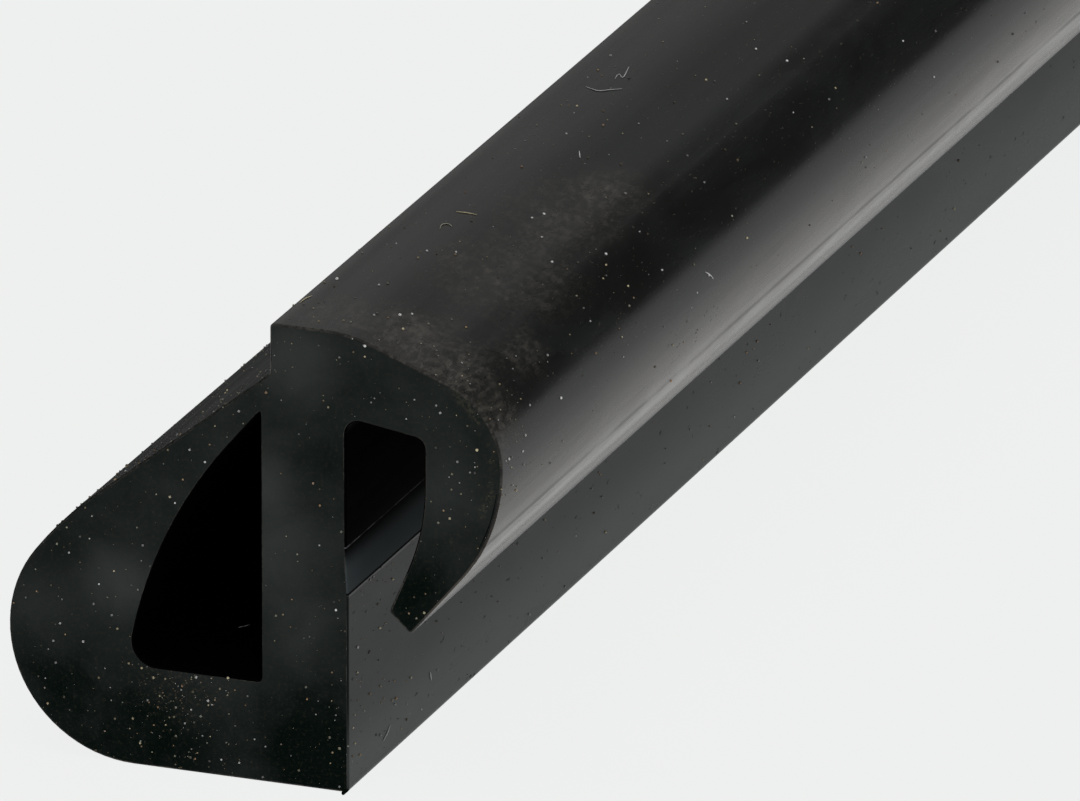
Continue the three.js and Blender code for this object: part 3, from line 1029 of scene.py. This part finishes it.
# on the cuts: everywhere, and densest in the cluster
away = {0: position, 1: given["Cluster"]}
away = output_of(tree, "ShaderNodeVectorMath", away, operation="SUBTRACT")
away = {0: away, 1: CLUSTER_SHAPE}
away = output_of(tree, "ShaderNodeVectorMath", away, operation="MULTIPLY")
away = add_node(tree, "ShaderNodeVectorMath", {0: away}, operation="LENGTH").outputs["Value"]
gathered = ramp(tree, away, 0.0, given["Cluster Radius"], 1.0, 0.0, kind="LINEAR")
gathered = times(tree, maths(tree, "POWER", gathered, 2.0), given["Cluster Density"])
on_cut = times(tree, cut_mark, given["Cut Density"])
on_cut = total(tree, on_cut, times(tree, cut_mark, gathered))
density = times(tree, total(tree, on_top, on_cut), drift)
print("the density takes", len(tree.nodes), "nodes")

# %% Tree of the scattered dust: a grain on each point
points = add_node(tree, "GeometryNodeDistributePointsOnFaces", {
    "Mesh": given["Geometry"], "Density": density, "Seed": given["Seed"],
}, distribute_method="RANDOM").outputs
grain_shape = {"Segments": 4, "Rings": 3, "Radius": 1.0}
grain_shape = output_of(tree, "GeometryNodeMeshUVSphere", grain_shape)
grains = dropped(
    tree, points["Points"], points["Rotation"], grain_shape,
    given["Smallest"], given["Largest"], GRAIN_SEED,
)
end_tree(tree, result, grains, given["Dust"])
scattered_dust = tree
print("tree:", scattered_dust.name, "with", len(scattered_dust.nodes), "nodes")

# %% Scatter the dust
CLUSTER_PIXEL = (182, 682)
dust_piece = grown_mesh("dust_grains", skin_piece.data.copy(), scattered_dust, {
    "Dust": dust, "Cluster": tuple(on_rubber(*CLUSTER_PIXEL)[0]),
})
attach(dust_piece, "root")
print("dust:", len(dust_piece.data.polygons), "faces")

# %% [markdown]
# ## Lint and bright grains
# Lint is a short bent strand, thinner than a hair, laid on the surface. The eye goes to the few
# strands and to the brightest grains first, so these aren't scattered: each is set where the
# photograph shows it. Both take their line or their points from a mesh without faces, and a
# tree gives them their thickness.

# %% Lint: strands laid along lines
STRAND_POINTS = 12
THIN_END = 0.4
tree, given, result = new_tree("lint_strands", [
    ("Thickness", "NodeSocketFloat", 0.065 * MM),
    ("Dust", "NodeSocketMaterial", None),
])
strand = output_of(tree, "GeometryNodeMeshToCurve", {"Mesh": given["Geometry"]})
strand = {"Curve": strand}
strand = output_of(tree, "GeometryNodeCurveSplineType", strand, spline_type="CATMULL_ROM")
strand = {"Curve": strand, "Count": STRAND_POINTS}
strand = output_of(tree, "GeometryNodeResampleCurve", strand)
taper = tree.nodes.new("GeometryNodeSplineParameter").outputs["Factor"]
taper = maths(tree, "SINE", times(tree, taper, math.pi))
taper = total(tree, times(tree, taper, 1.0 - THIN_END), THIN_END)
thick = times(tree, taper, given["Thickness"])
strand = output_of(tree, "GeometryNodeSetCurveRadius", {"Curve": strand, "Radius": thick})
ring = {"Resolution": 5, "Radius": 0.5}
ring = output_of(tree, "GeometryNodeCurvePrimitiveCircle", ring)
strand = output_of(tree, "GeometryNodeCurveToMesh", {
    "Curve": strand, "Profile Curve": ring, "Scale": thick, "Fill Caps": True,
})
end_tree(tree, result, strand, given["Dust"])
lint_strands = tree
print("tree:", lint_strands.name, "with", len(lint_strands.nodes), "nodes")

# %% The strands that the photograph shows
# each is a few pixels of the photograph that the strand passes over, and its tint
SEEN_STRANDS = {
    "straw": (((456, 212), (466, 213), (477, 215)), 0.35),
    "curl": (((440, 229), (442, 225), (448, 224), (452, 227)), 0.1),
    "hook": (((615, 79), (619, 74), (623, 78), (629, 67)), 0.8),
    "long_hair": (((586, 87), (598, 91), (610, 90), (622, 89)), 0.78),
    "short_hair": (((579, 151), (580, 158)), 0.9),
    "corner_hair": (((300, 303), (305, 299), (312, 296)), 0.3),
    "on_lip": (((705, 272), (710, 275), (713, 279)), 0.9),
    "on_web": (((383, 741), (387, 733), (390, 725)), 0.75),
    "on_web_high": (((430, 672), (431, 680)), 0.75),
    "in_bulb_corner": (((238, 628), (243, 627), (250, 625)), 0.72),
}
LINT_LIFT = 0.02 * MM
strand_points, strand_edges, strand_tints = [], [], []
for pixels, tint_value in SEEN_STRANDS.values():
    for n, pixel in enumerate(pixels):
        point, normal = on_rubber(*pixel)
        if n:
            strand_edges.append((len(strand_points) - 1, len(strand_points)))
        strand_points.append(point + normal * LINT_LIFT)
        strand_tints.append(tint_value)
strand_lines = bpy.data.meshes.new("strand_lines")
strand_lines.from_pydata(strand_points, strand_edges, [])
strand_lines.attributes.new("tint", "FLOAT", "POINT").data.foreach_set("value", strand_tints)
lint_piece = grown_mesh("lint", strand_lines, lint_strands, {"Dust": dust})
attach(lint_piece, "root")
print("strands:", len(SEEN_STRANDS), "faces:", len(lint_piece.data.polygons))

# %% The brightest grains that the photograph shows
# each is a pixel of the photograph, the grain's radius in mm, and its tint
SEEN_GRAINS = (
    (337, 279, 0.11, 0.95), (379, 285, 0.08, 0.8), (374, 315, 0.07, 0.75), (400, 315, 0.10, 0.95),
    (412, 314, 0.08, 0.85), (403, 329, 0.09, 0.3), (365, 346, 0.09, 0.95), (427, 251, 0.08, 0.8),
    (456, 252, 0.07, 0.8), (544, 214, 0.09, 0.95), (532, 218, 0.08, 0.85), (552, 262, 0.09, 0.9),
    (606, 254, 0.09, 1.0), (606, 265, 0.07, 0.4), (628, 286, 0.07, 0.35), (662, 270, 0.07, 0.85),
    (561, 398, 0.09, 0.95), (477, 450, 0.09, 0.35), (787, 61, 0.09, 1.0), (756, 49, 0.08, 0.95),
    (706, 80, 0.08, 0.35), (727, 99, 0.07, 0.85), (577, 106, 0.07, 0.35), (903, 41, 0.07, 0.9),
    (934, 77, 0.07, 0.85), (709, 275, 0.08, 0.9), (732, 216, 0.07, 0.1), (747, 238, 0.07, 0.35),
    (671, 381, 0.08, 0.6), (205, 462, 0.07, 0.9), (336, 610, 0.08, 0.95), (99, 584, 0.06, 0.9),
    (114, 571, 0.06, 0.35), (228, 678, 0.08, 0.3), (175, 503, 0.06, 0.9), (380, 628, 0.07, 0.3),
)
radii = [radius * MM for _, _, radius, _ in SEEN_GRAINS]
tints = [grain_tint for _, _, _, grain_tint in SEEN_GRAINS]
grain_points = [on_rubber(column, row)[0] for column, row, _, _ in SEEN_GRAINS]
grain_spots = bpy.data.meshes.new("grain_spots")
grain_spots.from_pydata(grain_points, [], [])
for label, values in (("radius", radii), ("tint", tints)):
    grain_spots.attributes.new(label, "FLOAT", "POINT").data.foreach_set("value", values)
print("bright grains:", len(grain_points))

# %% Set the bright grains
SECOND_TURN_SEED = 5
tree, given, result = new_tree("set_grains", [
    ("Seed", "NodeSocketInt", 3), ("Dust", "NodeSocketMaterial", None),
])
grain_shape = output_of(tree, "GeometryNodeMeshIcoSphere", {"Radius": 1.0, "Subdivisions": 1})
turn = output_of(tree, "ShaderNodeCombineXYZ", {
    "X": random_number(tree, 0.0, FULL_TURN, given["Seed"]),
    "Y": random_number(tree, 0.0, FULL_TURN, SECOND_TURN_SEED),
})
grains = output_of(tree, "GeometryNodeInstanceOnPoints", {
    "Points": given["Geometry"], "Instance": grain_shape, "Rotation": turn,
    "Scale": marked(tree, "radius"),
})
end_tree(tree, result, grains, given["Dust"])
grain_piece = grown_mesh("bright_grains", grain_spots, tree, {"Dust": dust})
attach(grain_piece, "root")
print("bright grains:", len(grain_piece.data.polygons), "faces")

# %% [markdown]
# ## Floor and light
# The photograph was taken on white that glows from below, so it has no shadow and its light
# runs up the underside of the lip. The floor here gives most of its brightness itself. One
# large soft panel behind and to the left puts the grey on the flat top. One overhead and a
# little in front lifts the whole rubber, and two weaker ones in front and to the right show
# the cut and the lip's back. The turn of the shoulder looks past them all into the dark,
# which is why the rubber is blackest there.

# %% Floor
FLOOR_SIZE = 8.0
FLOOR_GREY, FLOOR_GLOW = (0.04, 0.04, 0.04, 1.0), (0.985, 1.0, 0.992, 1.0)
FLOOR_GLOW_STRENGTH = 0.845
side = FLOOR_SIZE / 2
corners = [(-side, -side, 0.0), (side, -side, 0.0), (side, side, 0.0), (-side, side, 0.0)]
floor_mesh = bpy.data.meshes.new("floor")
floor_mesh.from_pydata(corners, [], [(0, 1, 2, 3)])
floor = bpy.data.objects.new("floor", floor_mesh)
bpy.context.scene.collection.objects.link(floor)
paper = bpy.data.materials.new("white_table")
paper.use_nodes = True
for name, value in (
    ("Base Color", FLOOR_GREY), ("Roughness", 1.0), ("Specular IOR Level", 0.0),
    ("Emission Color", FLOOR_GLOW), ("Emission Strength", FLOOR_GLOW_STRENGTH),
):
    paper.node_tree.nodes["Principled BSDF"].inputs[name].default_value = value
floor_mesh.materials.append(paper)
print("floor:", FLOOR_SIZE, "m")

# %% Lights
# all lights face a point near the front cut
LIT_POINT = Vector((0.0, -0.45, 0.01))
WORLD_GREY = (0.03, 0.03, 0.03, 1.0)
# azimuth and elevation in degrees, distance, width and height in metres, radiance
PANELS = {
    "back_left_panel": (-28.0, 32.0, 3.0, 3.0, 2.2, 0.5),
    "overhead_panel": (150.0, 74.0, 2.0, 2.0, 2.0, 1.9),
    "front_panel": (165.0, 38.0, 3.0, 2.4, 1.6, 0.7),
    "right_panel": (95.0, 40.0, 3.0, 1.6, 1.4, 0.5),
}


def soft_panel(name, azimuth, elevation, away, width, height, radiance):
    """A rectangular light that faces the lit point. Azimuth 0 is straight behind it."""
    data = bpy.data.lights.new(name, "AREA")
    data.shape = "RECTANGLE"
    data.size = width
    data.size_y = height
    data.energy = radiance * math.pi * width * height
    light = bpy.data.objects.new(name, data)
    turn, rise = math.radians(azimuth), math.radians(elevation)
    level = math.cos(rise)
    way = Vector((math.sin(turn) * level, math.cos(turn) * level, math.sin(rise)))
    light.location = LIT_POINT + way * away
    light.rotation_euler = (-way).to_track_quat("-Z", "Y").to_euler()
    bpy.context.scene.collection.objects.link(light)


for name, values in PANELS.items():
    soft_panel(name, *values)
world = bpy.data.worlds.new("studio")
world.use_nodes = True
world.node_tree.nodes["Background"].inputs["Color"].default_value = WORLD_GREY
bpy.context.scene.world = world
bpy.context.scene.view_settings.view_transform = "Standard"
